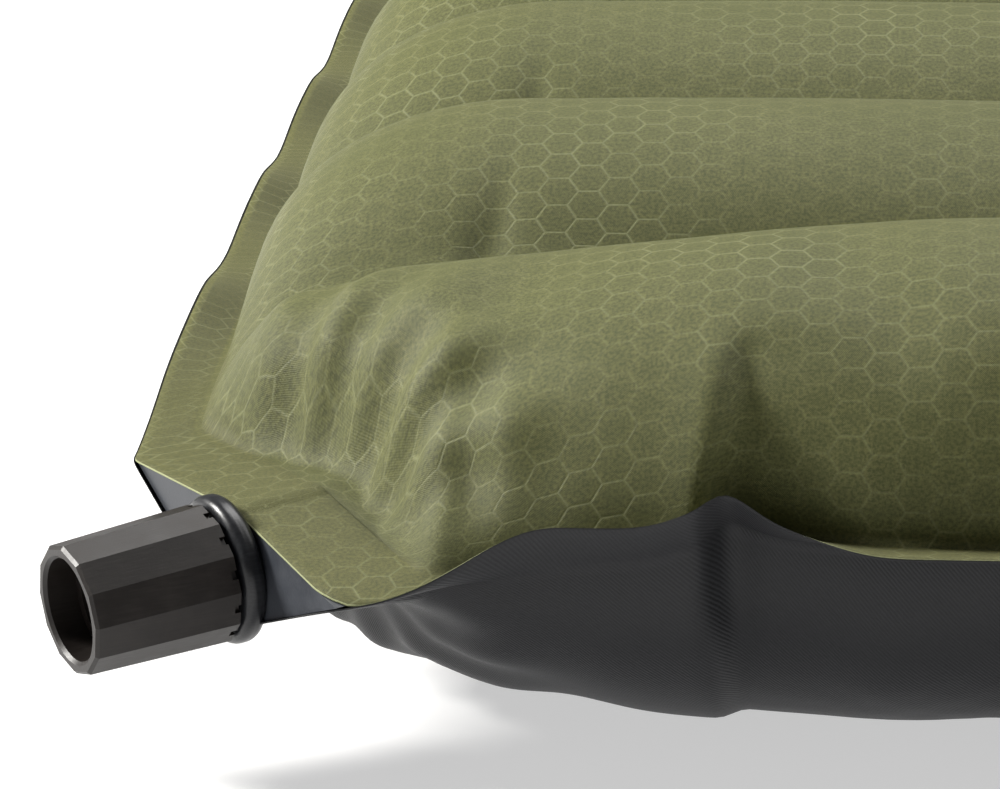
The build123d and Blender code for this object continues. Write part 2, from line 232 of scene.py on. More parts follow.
class Layout:
    """The two sheets' shared grid: flat cut, inflated start and what is welded or tied."""

    def __init__(self, pad):
        self.rows = row_layout(pad)
        self.flat, across, height, self.valleys = column_layout(pad)
        self.shape = (len(self.rows), len(self.flat))
        inside = np.array((PAD_LENGTH, PAD_WIDTH)) - 2 * RIM
        cut = inner_cut()
        s, t = np.meshgrid(self.rows, self.flat, indexing="ij")
        cut_size = np.array((self.rows[-1], self.flat[-1]))
        self.cut_plan = plan_shape(np.stack((s, t), -1), cut_size, cut)
        along = s * inside[0] / self.rows[-1]
        wide = np.broadcast_to(across, self.shape)
        self.plan = plan_shape(np.stack((along, wide), -1), inside, cut) + OUTLINE + RIM
        self.edge = np.zeros(self.shape, bool)
        self.edge[[0, -1]] = True
        self.edge[:, [0, -1]] = True
        self.at_cut = self.edge & (self.from_cut() < ON_CUT)
        self.half_long = float(np.abs((self.plan[self.at_cut] - CUT_MIDDLE) @ CUT_ALONG).max())
        self.middle, self.opening, _, _ = neck_lens(self.plan, self.half_long)
        ends, sides = (
            np.minimum(place - start, start + size - place) - RIM
            for place, start, size in (
                (self.plan[..., 0], OUTLINE[0], PAD_LENGTH), (self.plan[..., 1], OUTLINE[1], PAD_WIDTH)))
        border = np.minimum(ends, self.from_cut())
        taper = np.clip(border / pad.end_taper, 0, 1)
        rise = np.sqrt(1 - (1 - taper) ** 2) * height * START_FILL
        near_neck = np.exp(-self.from_cut() / START_NECK)
        self.start_top = SEAM_Z + rise + near_neck * (self.middle + self.opening - SEAM_Z)
        self.start_low = SEAM_Z - rise + near_neck * (self.middle - self.opening - SEAM_Z)
        self.start_low = np.maximum(self.start_low, 0)
        self.half_tie = pad.web_height / 2 * smooth(np.minimum(border, sides) / pad.web_rise)
        self.tied = [
            (row, column) for column in self.valleys for row in range(self.shape[0])
            if pad.web_start < self.rows[row] < self.rows[-1] - pad.web_start
        ]

    def from_cut(self):
        """Distance inward from the weld across the cut corner."""
        return -((self.plan - CUT_MIDDLE) @ CUT_OUT) - NECK_RIM


def linked(name, data):
    """New object with its data, in the scene."""
    item = bpy.data.objects.new(name, data)
    bpy.context.scene.collection.objects.link(item)
    return item


def only(items, kind):
    """The vertices, edges or faces among a bmesh operator's results."""
    return [item for item in items if isinstance(item, kind)]


def grid_mesh(shape):
    """A new bmesh grid of rows by columns, with its vertices in row order."""
    mesh = new_cloth_mesh()
    bmesh.ops.create_grid(mesh, x_segments=shape[1] - 1, y_segments=shape[0] - 1, size=1)
    mesh.verts.ensure_lookup_table()
    return mesh


def new_cloth_mesh():
    """Empty bmesh that can hold a fabric's flat places, creases and weld mask."""
    mesh = bmesh.new()
    mesh.loops.layers.uv.new("flat_cut")
    mesh.edges.layers.float.new("crease_edge")
    mesh.verts.layers.float.new("welded")
    return mesh


# ---- blowing the pad up

def inflate(lay, pad):
    """Inflates the two welded sheets as cloth and gives back their points."""
    rows, columns = lay.shape
    count = rows * columns
    mesh = grid_mesh(lay.shape)
    level = mesh.verts.layers.int.new("number")
    bmesh.ops.reverse_faces(mesh, faces=mesh.faces)
    lower = bmesh.ops.duplicate(mesh, geom=mesh.verts[:] + mesh.edges[:] + mesh.faces[:])["geom"]
    bmesh.ops.reverse_faces(mesh, faces=only(lower, bmesh.types.BMFace))
    mesh.verts.ensure_lookup_table()
    points = np.stack([np.dstack((lay.plan, height)) for height in (lay.start_top, lay.start_low)])
    welded = lay.edge & ~(lay.at_cut & (lay.opening > ON_CUT))
    for index, (vert, point) in enumerate(zip(mesh.verts, points.reshape(-1, 3))):
        vert.co = point
        vert[level] = index
    for row, column in lay.tied:
        index = row * columns + column
        mesh.edges.new((mesh.verts[index], mesh.verts[index + count]))
    pairs = {
        mesh.verts[index + count]: mesh.verts[index] for index in np.flatnonzero(welded.ravel()).tolist()}
    bmesh.ops.weld_verts(mesh, targetmap=pairs)
    bmesh.ops.recalc_face_normals(mesh, faces=mesh.faces)
    mesh.verts.index_update()
    number = np.array([vert[level] for vert in mesh.verts])
    data = bpy.data.meshes.new("inflating")
    mesh.to_mesh(data)
    mesh.free()
    cloth = linked("inflating", data)

    cut = lay.cut_plan - lay.cut_plan.mean((0, 1))
    rest = np.concatenate([np.dstack((cut, side * lay.half_tie)).reshape(-1, 3) for side in (1, -1)])
    cloth.shape_key_add(name="inflated")
    key = cloth.shape_key_add(name="flat cut")
    key.data.foreach_set("co", rest[number].ravel())
    key.value = 0
    held = cloth.vertex_groups.new(name="held")
    at_cut = np.flatnonzero(np.tile(lay.at_cut.ravel(), 2)[number])
    held.add(at_cut.tolist(), 1.0, "REPLACE")
    solver = cloth.modifiers.new("cloth", "CLOTH")
    for name, value in {
        "rest_shape_key": key, "vertex_group_mass": "held", "quality": 6, "mass": 0.0005,
        "tension_stiffness": 40, "compression_stiffness": 40,
        "shear_stiffness": 10, "bending_stiffness": 0.05,
        "tension_damping": 5, "compression_damping": 5, "shear_damping": 5, "air_damping": 2,
        "use_pressure": True, "uniform_pressure_force": pad.pressure,
    }.items():
        setattr(solver.settings, name, value)
    solver.settings.effector_weights.gravity = 0
    solver.collision_settings.use_collision = False
    solver.collision_settings.use_self_collision = False
    scene = bpy.context.scene
    solver.point_cache.frame_start = scene.frame_start = 1
    solver.point_cache.frame_end = scene.frame_end = pad.frames
    for step in range(1, pad.frames + 1):
        scene.frame_set(step)
    solved = cloth.evaluated_get(bpy.context.evaluated_depsgraph_get()).data
    points = np.empty(len(solved.vertices) * 3)
    solved.vertices.foreach_get("co", points)
    points = points.reshape(-1, 3)
    bpy.data.objects.remove(cloth)
    bpy.data.meshes.remove(data)
    scene.frame_set(1)
    both = np.full((2 * count, 3), np.nan)
    both[number] = points
    lost = np.isnan(both[count:, 0])
    both[count:][lost] = both[:count][lost]
    return both.reshape(2, rows, columns, 3)


# ---- shaping after inflation

def bump_at(place, middle, width):
    """Soft bump of height 1 at a middle, falling to nothing over about a width."""
    return np.exp(-((place - middle) / width) ** 2)


def relax(points, weight, times):
    """Evens out a sheet's points where a weight says so; its edge stays."""
    for _ in range(times):
        mean = (points[:-2, 1:-1] + points[2:, 1:-1] + points[1:-1, :-2] + points[1:-1, 2:]) / 4
        points[1:-1, 1:-1] += (mean - points[1:-1, 1:-1]) * weight[1:-1, 1:-1, None]
    return points


def outward(points, side):
    """Unit normals of a sheet's points, out of the pad."""
    normal = np.cross(np.gradient(points, axis=0), np.gradient(points, axis=1)) * side
    return normal / np.maximum(np.linalg.norm(normal, axis=-1, keepdims=True), 1e-12)


def sculpt(lay, both, pad):
    """Adds the folds, puckers and sag that packing and welding leave near the valve."""
    from_shoulder = np.linalg.norm(lay.plan - SHOULDER, axis=-1)
    at_corner = np.exp(-((from_shoulder / RELAX_REACH) ** 2)) * RELAX_SHARE
    for sheet, rounds in enumerate(RELAX_ROUNDS):
        both[sheet] = relax(both[sheet], at_corner * ~lay.edge, rounds)
    face = np.stack([outward(both[sheet], side) for sheet, side in ((0, 1), (1, -1))])
    x = np.tile((lay.plan[..., 0] - OUTLINE[0]) / MM, (2, 1, 1))
    across = np.tile(lay.flat / MM, (2, lay.shape[0], 1))
    top = np.array((1, 0))[:, None, None]
    first = smooth((SECOND_TUBE - across) / 12)
    free = 1 - np.exp(-np.clip(lay.from_cut(), 0, None) / (6 * MM))
    lift = (both[..., 2] - SEAM_Z) / TUBE_R

    # tube ends rise slowly to their full height
    both[..., 2] -= top * first * lift * END_SINK * MM * bump_at(x, 62, 40)
    both[..., 2] -= top * (1 - first) * lift * LATER_SINK * MM * bump_at(x, 40, 40)

    # the near side's weld hangs low towards the valve
    near = across < 90
    hang = WELD_HANG * np.clip(1 - smooth((x - 44) / 62), 0, 1) * np.exp(-((across / 24) ** 1.6)) * near
    both[..., 2] -= hang * MM * free

    # the near flank turns in towards the corner from the pucker on
    ramp = np.clip((pad.pucker_place / MM - x) / 42, 0, 1)
    both[..., 1] += near * ramp * FLANK_TURN * MM * np.exp(-(((across - 16) / 26) ** 2)) * free

    # deep pucker square to the near side's weld: proud on one side, folded in on the other
    from_fold = x - pad.pucker_place / MM - 0.03 * across
    reach = np.where(top == 1, TOP_PUCKER_REACH, LOW_PUCKER_REACH)
    fade = np.clip(1 - across / reach, 0, 1)
    behind = PUCKER_PROUD * smooth(from_fold / 2.4 + 0.2) * np.exp(-np.clip(from_fold, 0, None) / 9)
    ahead = PUCKER_FOLDED * np.exp(np.clip(from_fold, None, 0) / 11) * (from_fold < 0.6)
    crease = (behind + ahead) * fade ** 0.6
    hollow = bump_at(from_fold, 11, 9) * PUCKER_HOLLOW * fade
    both[..., 1] += near * (crease + hollow) * MM
    both[..., 2] += near * bump_at(from_fold, 1, 5.5) * PUCKER_PEAK * MM * np.exp(-across / 11)
    both[..., 2] -= near * top * (crease * 0.45 + hollow * 0.5) * MM * smooth((across - 18) / 20)

    # shallow dimples and soft buckles along the near tube
    for sheet, dents, tall, share in ((0, TOP_DENTS, 13, 1), (1, BOTTOM_DENTS, 15, free)):
        for place, side, wide, deep in dents:
            dent = bump_at(x[sheet], place, wide) * bump_at(across[sheet], side, tall) * deep * MM
            both[sheet] -= face[sheet] * (dent * share)[..., None]

    # folds that fan out from the neck over the end of the tube
    offset = lay.plan - CUT_MIDDLE
    along, inward = (offset @ CUT_ALONG) / MM, -(offset @ CUT_OUT) / MM
    bearing = np.arctan2(along, inward + 6)
    far = np.hypot(along, inward + 6)
    fan = np.cos(bearing * 8.5 + 1.1) + 0.8 * np.cos(bearing * 14 + 0.4)
    fan = fan * smooth((far - 22) / 8) * np.exp(-np.clip(far - 22, 0, None) / 20) * FAN_HIGH * MM
    for place, wide, reach, high in NECK_FOLDS:
        ridge = bump_at(bearing, place, wide) - 0.6 * bump_at(bearing, place + 1.9 * wide, wide)
        fan = fan + ridge * high * MM * smooth((far - 20) / 7) * (1 - smooth((far - reach + 14) / 20))
    both += face * (fan * free * np.array((1, 0.5))[:, None, None])[..., None]
    groove = bump_at(far, 30, 3.6) * GROOVE_DEEP - bump_at(far, 38, 5) * GROOVE_LIP
    both[0, ..., 2] -= groove * MM * free * (0.7 + 0.3 * np.sign(along))

    # the sheets lie on the weld boat and the neck as far as an arc behind the cut
    level, opening, _, _ = neck_lens(lay.plan, lay.half_long)
    on_boat = 1 - smooth((np.hypot(along * 0.62, inward) - BOAT_REACH) / BOAT_FADE)
    for sheet, side in ((0, 1), (1, -1)):
        both[sheet, ..., 2] += (level + side * opening - both[sheet, ..., 2]) * on_boat

    # creases at the ends of the walls between the tubes
    for column in lay.valleys[:2]:
        place = lay.flat[column] / MM
        crease = np.exp(-np.abs(x - 48 - 0.12 * np.abs(across - place)) / 2.4)
        crease = crease * np.clip(1 - np.abs(across - place - 8) / 34, 0, 1) ** 1.5
        both -= face * (top * crease * WALL_CREASE * MM)[..., None]
    both[1, ..., 2] = np.maximum(both[1, ..., 2], 0)
    return both


def rim_points(lay, both, pad):
    """Cut edge outside every weld point, one set for each sheet."""
    place = lay.plan - OUTLINE
    inner = inner_cut() + RIM
    middle = np.array((PAD_LENGTH, PAD_WIDTH)) / 2
    straight = middle - RIM - CORNER_ROUND
    away = (place - middle) - np.clip(place - middle, -straight, straight)
    away /= np.maximum(np.linalg.norm(away, axis=-1, keepdims=True), 1e-9)
    shift = away * RIM
    near_side = np.abs(place[..., 1] - RIM) < 0.1 * MM
    at_end = np.abs(place[..., 0] - RIM) < 0.1 * MM
    slide = (inner - CUT) * np.clip(1 - (place - inner) / (40 * MM), 0, 1)
    shift[near_side] = np.stack((-slide[..., 0], np.full(lay.shape, -RIM)), -1)[near_side]
    shift[at_end] = np.stack((np.full(lay.shape, -RIM), -slide[..., 1]), -1)[at_end]
    x, y = place[..., 0] / MM, place[..., 1] / MM
    near_tilt = 12 + 36 * smooth((x - 44) / 16) * (1 - smooth((x - 84) / 28)) + 4 * np.sin(x / 23)
    end_tilt = 10 - 12 * np.cos((y - 81.4) / 11.37) * smooth((y - 50) / 30)
    tilt = np.where(near_side, near_tilt, np.where(at_end, end_tilt, 10 + 7 * np.sin((x + y) / 17)))
    tilt = np.radians(tilt)
    width = np.linalg.norm(shift, axis=-1)
    rims = []
    for side, points in ((1, both[0]), (-1, both[1])):
        rim = points.copy()
        rim[..., :2] += shift * np.cos(tilt)[..., None]
        rim[..., 2] += width * np.sin(tilt)
        peak = bump_at(x, pad.pucker_place / MM + 1, 5.0) * near_side
        rim[..., 2] += peak * RIM_PEAK_UP
        rim[..., 1] -= peak * RIM_PEAK_OUT
        from_tip = np.where(near_side, smooth((x - inner[0] / MM) / 22), smooth((y - inner[1] / MM) / 26))
        from_tip = np.where(near_side | at_end, from_tip, 1)
        tip = np.where(near_side, TIP_Z[0], TIP_Z[1])
        rim[..., 2] = tip + (rim[..., 2] - tip) * from_tip
        along = ((lay.plan - CUT_MIDDLE) @ CUT_ALONG) * CUT_LONG / 2 / lay.half_long
        cut = CUT_MIDDLE + along[..., None] * CUT_ALONG
        lens_middle, opening, _, _ = neck_lens(cut, CUT_LONG / 2)
        rim[lay.at_cut] = np.dstack((cut, lens_middle + side * opening))[lay.at_cut]
        rims.append(rim)
    return rims


# ---- making the fabric's meshes

def set_uv(mesh, places):
    """Gives every corner its vertex's place on the flat cut, in metres."""
    layer = mesh.loops.layers.uv["flat_cut"]
    for face in mesh.faces:
        for loop in face.loops:
            loop[layer].uv = places[loop.vert]


def new_piece(name, mesh, *materials, soft=True):
    """Turns a bmesh into a linked object with its materials."""
    for face in mesh.faces:
        face.smooth = soft
    data = bpy.data.meshes.new(name)
    mesh.to_mesh(data)
    mesh.free()
    piece = linked(name, data)
    for material in materials:
        data.materials.append(material)
    return piece


def make_sheet(name, lay, points, rim, side, body_material, edge_material, overhang):
    """Builds one sheet with its weld band and cut edge; side is 1 for the top, -1 for the bottom."""
    mesh = grid_mesh(lay.shape)
    flat, flat_rim = lay.cut_plan.reshape(-1, 2), (rim[..., :2] - points[..., :2]).reshape(-1, 2)
    points, rim = points.reshape(-1, 3), rim.reshape(-1, 3)
    lift = Vector((0, 0, side * WELD_HALF_GAP))
    places, welded = {}, mesh.verts.layers.float["welded"]
    for index, (vert, on_edge) in enumerate(zip(mesh.verts, lay.edge.ravel().astype(float).tolist())):
        vert.co = Vector(points[index]) + lift * on_edge
        vert[welded] = on_edge
        places[vert] = flat[index]
    if side < 0:
        bmesh.ops.reverse_faces(mesh, faces=mesh.faces)
    crease = mesh.edges.layers.float["crease_edge"]
    border = [edge for edge in mesh.edges if edge.is_boundary]
    for edge in border:
        edge[crease] = SEAM_CREASE
    number = {vert: index for index, vert in enumerate(mesh.verts)}
    for step in WELD_STEPS + ("edge",):
        made = bmesh.ops.extrude_edge_only(mesh, edges=border)["geom"]
        fresh = set(only(made, bmesh.types.BMVert))
        for vert in fresh:
            old = next(
                edge.other_vert(vert) for edge in vert.link_edges if edge.other_vert(vert) not in fresh)
            index = number[old]
            number[vert] = index
            seam, outer = Vector(points[index]), Vector(rim[index])
            reach = 1 if step == "edge" else step
            out = (outer - seam).normalized()
            vert.co = seam.lerp(outer, reach) + lift + out * overhang * reach
            if step == "edge":
                vert.co -= 2 * lift * 0.95 + out * 0.05 * MM
            places[vert] = flat[index] + flat_rim[index] * reach
            vert[welded] = 1.0
        border = [edge for edge in only(made, bmesh.types.BMEdge) if edge.is_boundary]
        if step == "edge":
            for vert in fresh:
                for face in vert.link_faces:
                    face.material_index = 1
        if step == 1.0:
            for edge in border:
                edge[crease] = EDGE_CREASE
    set_uv(mesh, places)
    piece = new_piece(name, mesh, body_material, edge_material)
    finer = piece.modifiers.new("finer", "SUBSURF")
    finer.levels = finer.render_levels = 1
    return piece


def make_wall(name, lay, both, column, material):
    """Film wall between two tubes, from valley to valley."""
    rows = [row for row, tied in lay.tied if tied == column]
    mesh = grid_mesh((len(rows), 4))
    flat = {}
    for index, vert in enumerate(mesh.verts):
        row, level = rows[index // 4], (index % 4) / 3
        low, high = both[1, row, column] + FILM_STEP, both[0, row, column] - FILM_STEP
        vert.co = low + (high - low) * level
        flat[vert] = (lay.rows[row], level * 0.024)
    set_uv(mesh, flat)
    return finish_film(name, mesh, material, FILM_THICK)


def make_lining(name, lay, both, tube, material):
    """Insulation against the inside of one tube, above and below."""
    ends = [0] + lay.valleys + [lay.shape[1] - 1]
    low, high = ends[tube] + 2, ends[tube + 1] - 2
    columns = np.arange(low, high + 1, 2)
    inside = (lay.rows > FLEECE_END) & (lay.rows < lay.rows[-1] - FLEECE_END)
    rows = np.flatnonzero(inside)[::2]
    whole = new_cloth_mesh()
    flat = {}
    middle = both[:, :, low:high + 1].mean((0, 2))
    for sheet in (0, 1):
        part = bmesh.ops.create_grid(
            whole, x_segments=len(columns) - 1, y_segments=len(rows) - 1, size=1)["verts"]
        for index, vert in enumerate(part):
            row, column = rows[index // len(columns)], columns[index % len(columns)]
            point = both[sheet, row, column]
            centre = np.array((point[0], middle[row][1], SEAM_Z))
            inward = (centre - point) / np.linalg.norm(centre - point)
            vert.co = point + inward * FLEECE_GAP
            flat[vert] = (lay.rows[row], lay.flat[column])
        if sheet == 0:
            bmesh.ops.reverse_faces(whole, faces=list({face for vert in part for face in vert.link_faces}))
    set_uv(whole, flat)
    return finish_film(name, whole, material, FLEECE_THICK)


def finish_film(name, mesh, material, thick):
    """Turns a bmesh into a thick, smooth piece on the pad's body."""
    piece = new_piece(name, mesh, material)
    wall = piece.modifiers.new("thickness", "SOLIDIFY")
    wall.thickness = thick
    wall.offset = -1
    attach(piece, "pad")
    return piece


def make_boat(material):
    """Lens-shaped moulding across the cut corner, between the two sheets."""
    mesh = bmesh.new()
    bmesh.ops.create_circle(mesh, segments=96, radius=1, cap_ends=True)
    half_long = CUT_LONG / 2 - BOAT_INSET
    first = mesh.verts[:]
    for vert in first:
        turn = math.atan2(vert.co.y, vert.co.x)
        level = np.sign(round(math.sin(turn), 6))
        vert.co = Vector((half_long * math.cos(turn), level, 0))
    mesh.faces.ensure_lookup_table()
    made = bmesh.ops.extrude_face_region(mesh, geom=mesh.faces[:])["geom"]
    second = only(made, bmesh.types.BMVert)
    for ring, inward in ((first, BOAT_FRONT), (second, BOAT_BACK)):
        for vert in ring:
            plan = CUT_MIDDLE + vert.co.x * CUT_ALONG - inward * CUT_OUT
            middle, opening, _, _ = neck_lens(plan[None], CUT_LONG / 2)
            height = middle[0] + vert.co.y * max(opening[0] - 0.2 * MM, 0.05 * MM)
            vert.co = Vector((plan[0], plan[1], height))
    bmesh.ops.recalc_face_normals(mesh, faces=mesh.faces)
    return new_piece("weld_boat", mesh, material, soft=False)


# ---- shader groups

class Nodes:
    """Short way to add nodes to one tree and join them up."""

    def __init__(self, tree):
        self.tree = tree

    def feed(self, value, socket):
        """Joins a node's output to a socket, or sets the socket to a plain value."""
        if isinstance(value, bpy.types.NodeSocket):
            self.tree.links.new(value, socket)
        else:
            socket.default_value = value

    def add(self, kind, values=(), **settings):
        node = self.tree.nodes.new("ShaderNode" + kind)
        for name, value in settings.items():
            setattr(node, name, value)
        for socket, value in dict(values).items():
            self.feed(value, node.inputs[socket])
        return node

    def math(self, operation, *values, clamp=False):
        return self.add("Math", dict(enumerate(values)), operation=operation, use_clamp=clamp).outputs[0]

    def times(self, first, second):
        return self.math("MULTIPLY", first, second)

    def plus(self, first, second):
        return self.math("ADD", first, second)

    def vector(self, operation, *values):
        return self.add("VectorMath", dict(enumerate(values)), operation=operation).outputs["Vector"]

    def turn(self, place, angle):
        values = {"Vector": place, "Angle": angle}
        return self.add("VectorRotate", values, rotation_type="Z_AXIS").outputs[0]

    def mix(self, share, first, second):
        node = self.add("Mix", data_type="RGBA")
        for name, value in (("Factor", share), ("A", first), ("B", second)):
            self.feed(value, next(socket for socket in node.inputs if socket.name == name and socket.enabled))
        return next(socket for socket in node.outputs if socket.enabled)

    def noise(self, where, scale, detail=2.0, rough=0.5):
        values = {"Vector": where, "Scale": scale, "Detail": detail, "Roughness": rough}
        return self.add("TexNoise", values).outputs[0]

    def ramp(self, value, low, high, to_low=0.0, to_high=1.0):
        return self.add("MapRange", {0: value, 1: low, 2: high, 3: to_low, 4: to_high}).outputs[0]


def shader_group(name, inputs, outputs):
    """New shader node group with its sockets; gives back its nodes, its input and its output."""
    tree = bpy.data.node_groups.new(name, "ShaderNodeTree")
    for label, kind, value in inputs:
        socket = tree.interface.new_socket(label, in_out="INPUT", socket_type="NodeSocket" + kind)
        if value is not None:
            socket.default_value = value
    for label, kind in outputs:
        tree.interface.new_socket(label, in_out="OUTPUT", socket_type="NodeSocket" + kind)
    nodes = Nodes(tree)
    return nodes, tree.nodes.new("NodeGroupInput").outputs, tree.nodes.new("NodeGroupOutput").inputs


@functools.cache
def honeycomb_group():
    """Raised lines of a honeycomb: a line mask and a cell mask from a flat place in metres."""
    nodes, given, result = shader_group(
        "honeycomb",
        (("Place", "Vector", None), ("Side", "Float", 3.1 * MM), ("Line", "Float", 0.3 * MM)),
        (("Lines", "Float"), ("Cells", "Float")))
    side = given["Side"]
    wide = nodes.times(side, 3.0)
    tall = nodes.times(side, math.sqrt(3))
    half = nodes.times(tall, 0.5)
    cell = nodes.add("CombineXYZ", {0: wide, 1: tall, 2: 1.0}).outputs[0]
    half_cell = nodes.vector("MULTIPLY", cell, (0.5, 0.5, 0.5))
    least = None
    for shift in (False, True):
        place = nodes.vector("ADD", given["Place"], half_cell) if shift else given["Place"]
        back = nodes.vector("MULTIPLY", half_cell, (-1.0, -1.0, -1.0))
        wrapped = nodes.vector("ABSOLUTE", nodes.vector("WRAP", place, half_cell, back))
        parts = nodes.add("SeparateXYZ", {0: wrapped}).outputs
        slant = nodes.plus(nodes.times(parts[0], math.sqrt(0.75)), nodes.times(parts[1], 0.5))
        reach = nodes.math("MAXIMUM", parts[1], slant)
        least = reach if least is None else nodes.math("MINIMUM", least, reach)
    edge = nodes.math("SUBTRACT", half, least)
    share = nodes.math("DIVIDE", edge, given["Line"])
    lines = nodes.math("SUBTRACT", 1.0, nodes.math("SMOOTH_MIN", share, 1.0, 0.3), clamp=True)
    nodes.feed(lines, result["Lines"])
    nodes.feed(nodes.math("MULTIPLY", share, 0.16, clamp=True), result["Cells"])
    return nodes.tree


@functools.cache
def cloth_group():
    """Fine weave: thread height, slow shade and fine specks from a flat place in metres."""
    nodes, given, result = shader_group(
        "fine_weave",
        (("Place", "Vector", None), ("Thread", "Float", 0.28 * MM),
         ("Slant", "Float", 0.0), ("Twill", "Float", 0.0)),
        (("Height", "Float"), ("Shade", "Float"), ("Speck", "Float")))
    turned = nodes.turn(given["Place"], given["Slant"])
    scale = nodes.math("DIVIDE", 2 * math.pi, given["Thread"])
    parts = nodes.add("SeparateXYZ", {0: turned}).outputs
    wander = nodes.times(nodes.noise(given["Place"], 700.0, 2.0), 1.6)
    warp = nodes.math("SINE", nodes.plus(nodes.times(parts[0], scale), wander))
    weft = nodes.math("SINE", nodes.plus(nodes.times(parts[1], scale), wander))
    weft = nodes.plus(nodes.times(weft, nodes.math("SUBTRACT", 1.0, given["Twill"])), given["Twill"])
    height = nodes.plus(nodes.times(nodes.times(warp, weft), 0.3), 0.5)
    speck = nodes.noise(given["Place"], 1700.0, 3.0, 0.7)
    nodes.feed(nodes.plus(height, nodes.times(speck, 0.6)), result["Height"])
    nodes.feed(speck, result["Speck"])
    slow = nodes.noise(given["Place"], 38.0, 4.0, 0.6)
    shade = nodes.plus(nodes.times(slow, 0.7), nodes.times(speck, 0.3))
    nodes.feed(shade, result["Shade"])
    return nodes.tree


@functools.cache
def moulded_group():
    """Moulded plastic: fine grain, faint drag marks along the valve and handling wear."""
    nodes, given, result = shader_group(
        "moulded", (("Place", "Vector", None), ("Grain", "Float", 2400.0)),
        (("Height", "Float"), ("Wear", "Float")))
    grain = nodes.noise(given["Place"], given["Grain"], 2.0, 0.6)
    long_way = nodes.turn(given["Place"], DRAG_TURN)
    stretched = nodes.vector("MULTIPLY", long_way, (0.06, 1.0, 1.0))
    marks = nodes.noise(stretched, 3200.0, 2.0, 0.5)
    wear = nodes.noise(given["Place"], 190.0, 3.0, 0.65)
    for name, first, share, marks_share in (("Height", grain, 0.4, 0.6), ("Wear", wear, 0.6, 0.4)):
        parts = nodes.times(first, share), nodes.times(marks, marks_share)
        nodes.feed(nodes.plus(*parts), result[name])
    return nodes.tree


def new_material(name):
    """Empty material with a Principled shader; gives back the material, its nodes and the shader."""
    material = bpy.data.materials.new(name)
    material.use_nodes = True
    nodes = Nodes(material.node_tree)
    return material, nodes, material.node_tree.nodes["Principled BSDF"]


def use_group(nodes, group, **values):
    """Places a shader group in a material."""
    node = nodes.add("Group")
    node.node_tree = group
    for label, value in values.items():
        nodes.feed(value, node.inputs[label])
    return node.outputs


def finish(nodes, shader, colour, rough, height, depth):
    """Feeds a colour, a roughness and a bump of a given depth into a shader."""
    bump = nodes.add("Bump", {"Height": height, "Distance": depth, "Strength": 1.0})
    for name, value in (("Base Color", colour), ("Roughness", rough), ("Normal", bump.outputs[0])):
        nodes.feed(value, shader.inputs[name])


def soften(shader, specular, sheen, sheen_rough):
    """Sets how much a fabric shines."""
    shader.inputs["Specular IOR Level"].default_value = specular
    shader.inputs["Sheen Weight"].default_value = sheen
    shader.inputs["Sheen Roughness"].default_value = sheen_rough


def top_fabric(fabric):
    """Olive coated fabric with a honeycomb emboss that follows the cut cloth; its raised lines are painted
    lighter, in patches, as a painted sheen.
    """
    material, nodes, shader = new_material("olive_fabric")
    place = nodes.add("UVMap", uv_map="flat_cut").outputs[0]
    comb = use_group(nodes, honeycomb_group(), Place=place, Side=fabric.comb_side, Line=fabric.comb_line)
    weave = use_group(nodes, cloth_group(), Place=place, Thread=0.3 * MM)
    patches = nodes.noise(place, 26.0, 3.0, 0.6)
    strength = nodes.ramp(patches, 0.4, 0.64, 0.15, 1.0)
    lines = nodes.times(comb["Lines"], strength)
    welded = nodes.add("Attribute", attribute_name="welded").outputs["Fac"]
    olive, shade = (*fabric.top_colour, 1), (*fabric.top_shade, 1)
    cells = nodes.mix(nodes.times(comb["Cells"], 0.35), olive, shade)
    toned = nodes.mix(nodes.ramp(weave["Shade"], 0.3, 0.75, 0.0, 0.55), cells, shade)
    brown = nodes.mix(nodes.times(welded, 0.45), toned, (*fabric.weld_tint, 1))
    dark = tuple(c * 0.62 for c in fabric.top_shade) + (1,)
    grained = nodes.mix(nodes.ramp(weave["Speck"], 0.62, 0.38, 0.0, 0.8), brown, dark)
    # painted sheen: the raised honeycomb lines get a lighter colour, in noise patches, in place of the sheen
    # they catch
    sheen_lined = nodes.mix(nodes.times(lines, fabric.line_sheen_strength), grained, (*fabric.line_sheen_colour, 1))
    rough = nodes.ramp(weave["Shade"], 0.2, 0.8, 0.5, 0.66)
    rough = nodes.math("SUBTRACT", rough, nodes.times(lines, 0.08))
    height = nodes.plus(nodes.times(lines, 0.5), nodes.times(weave["Height"], 0.5))
    finish(nodes, shader, sheen_lined, rough, height, 0.11 * MM)
    soften(shader, 0.2, 0.04, 0.5)
    return material


def bottom_fabric(fabric):
    """Charcoal underside with a fine slanted twill."""
    material, nodes, shader = new_material("charcoal_fabric")
    place = nodes.add("UVMap", uv_map="flat_cut").outputs[0]
    weave = use_group(nodes, cloth_group(), Place=place, Thread=0.5 * MM, Slant=0.7, Twill=1.0)
    low, high = (*fabric.bottom_colour, 1), tuple(min(1, c * 1.7) for c in fabric.bottom_colour) + (1,)
    toned = nodes.mix(nodes.ramp(weave["Shade"], 0.3, 0.8, 0.0, 0.6), low, high)
    threads = nodes.mix(nodes.ramp(weave["Height"], 0.5, 1.1, 0.0, 0.8), toned, high)
    rough = nodes.ramp(weave["Height"], 0.2, 1.0, 0.62, 0.46)
    finish(nodes, shader, threads, rough, weave["Height"], 0.05 * MM)
    soften(shader, 0.25, 0.03, 0.4)
    return material


def cut_edge(name, colour, fuzz):
    """Frayed cut edge of a coated fabric."""
    material, nodes, shader = new_material(name)
    place = nodes.add("TexCoord").outputs["Object"]
    thread = nodes.noise(place, 2200.0, 3.0, 0.7)
    light = tuple(min(1, c * fuzz) for c in colour) + (1,)
    tone = nodes.mix(nodes.ramp(thread, 0.35, 0.7), (*colour, 1), light)
    finish(nodes, shader, tone, nodes.ramp(thread, 0.3, 0.7, 0.7, 0.95), thread, 0.1 * MM)
    return material


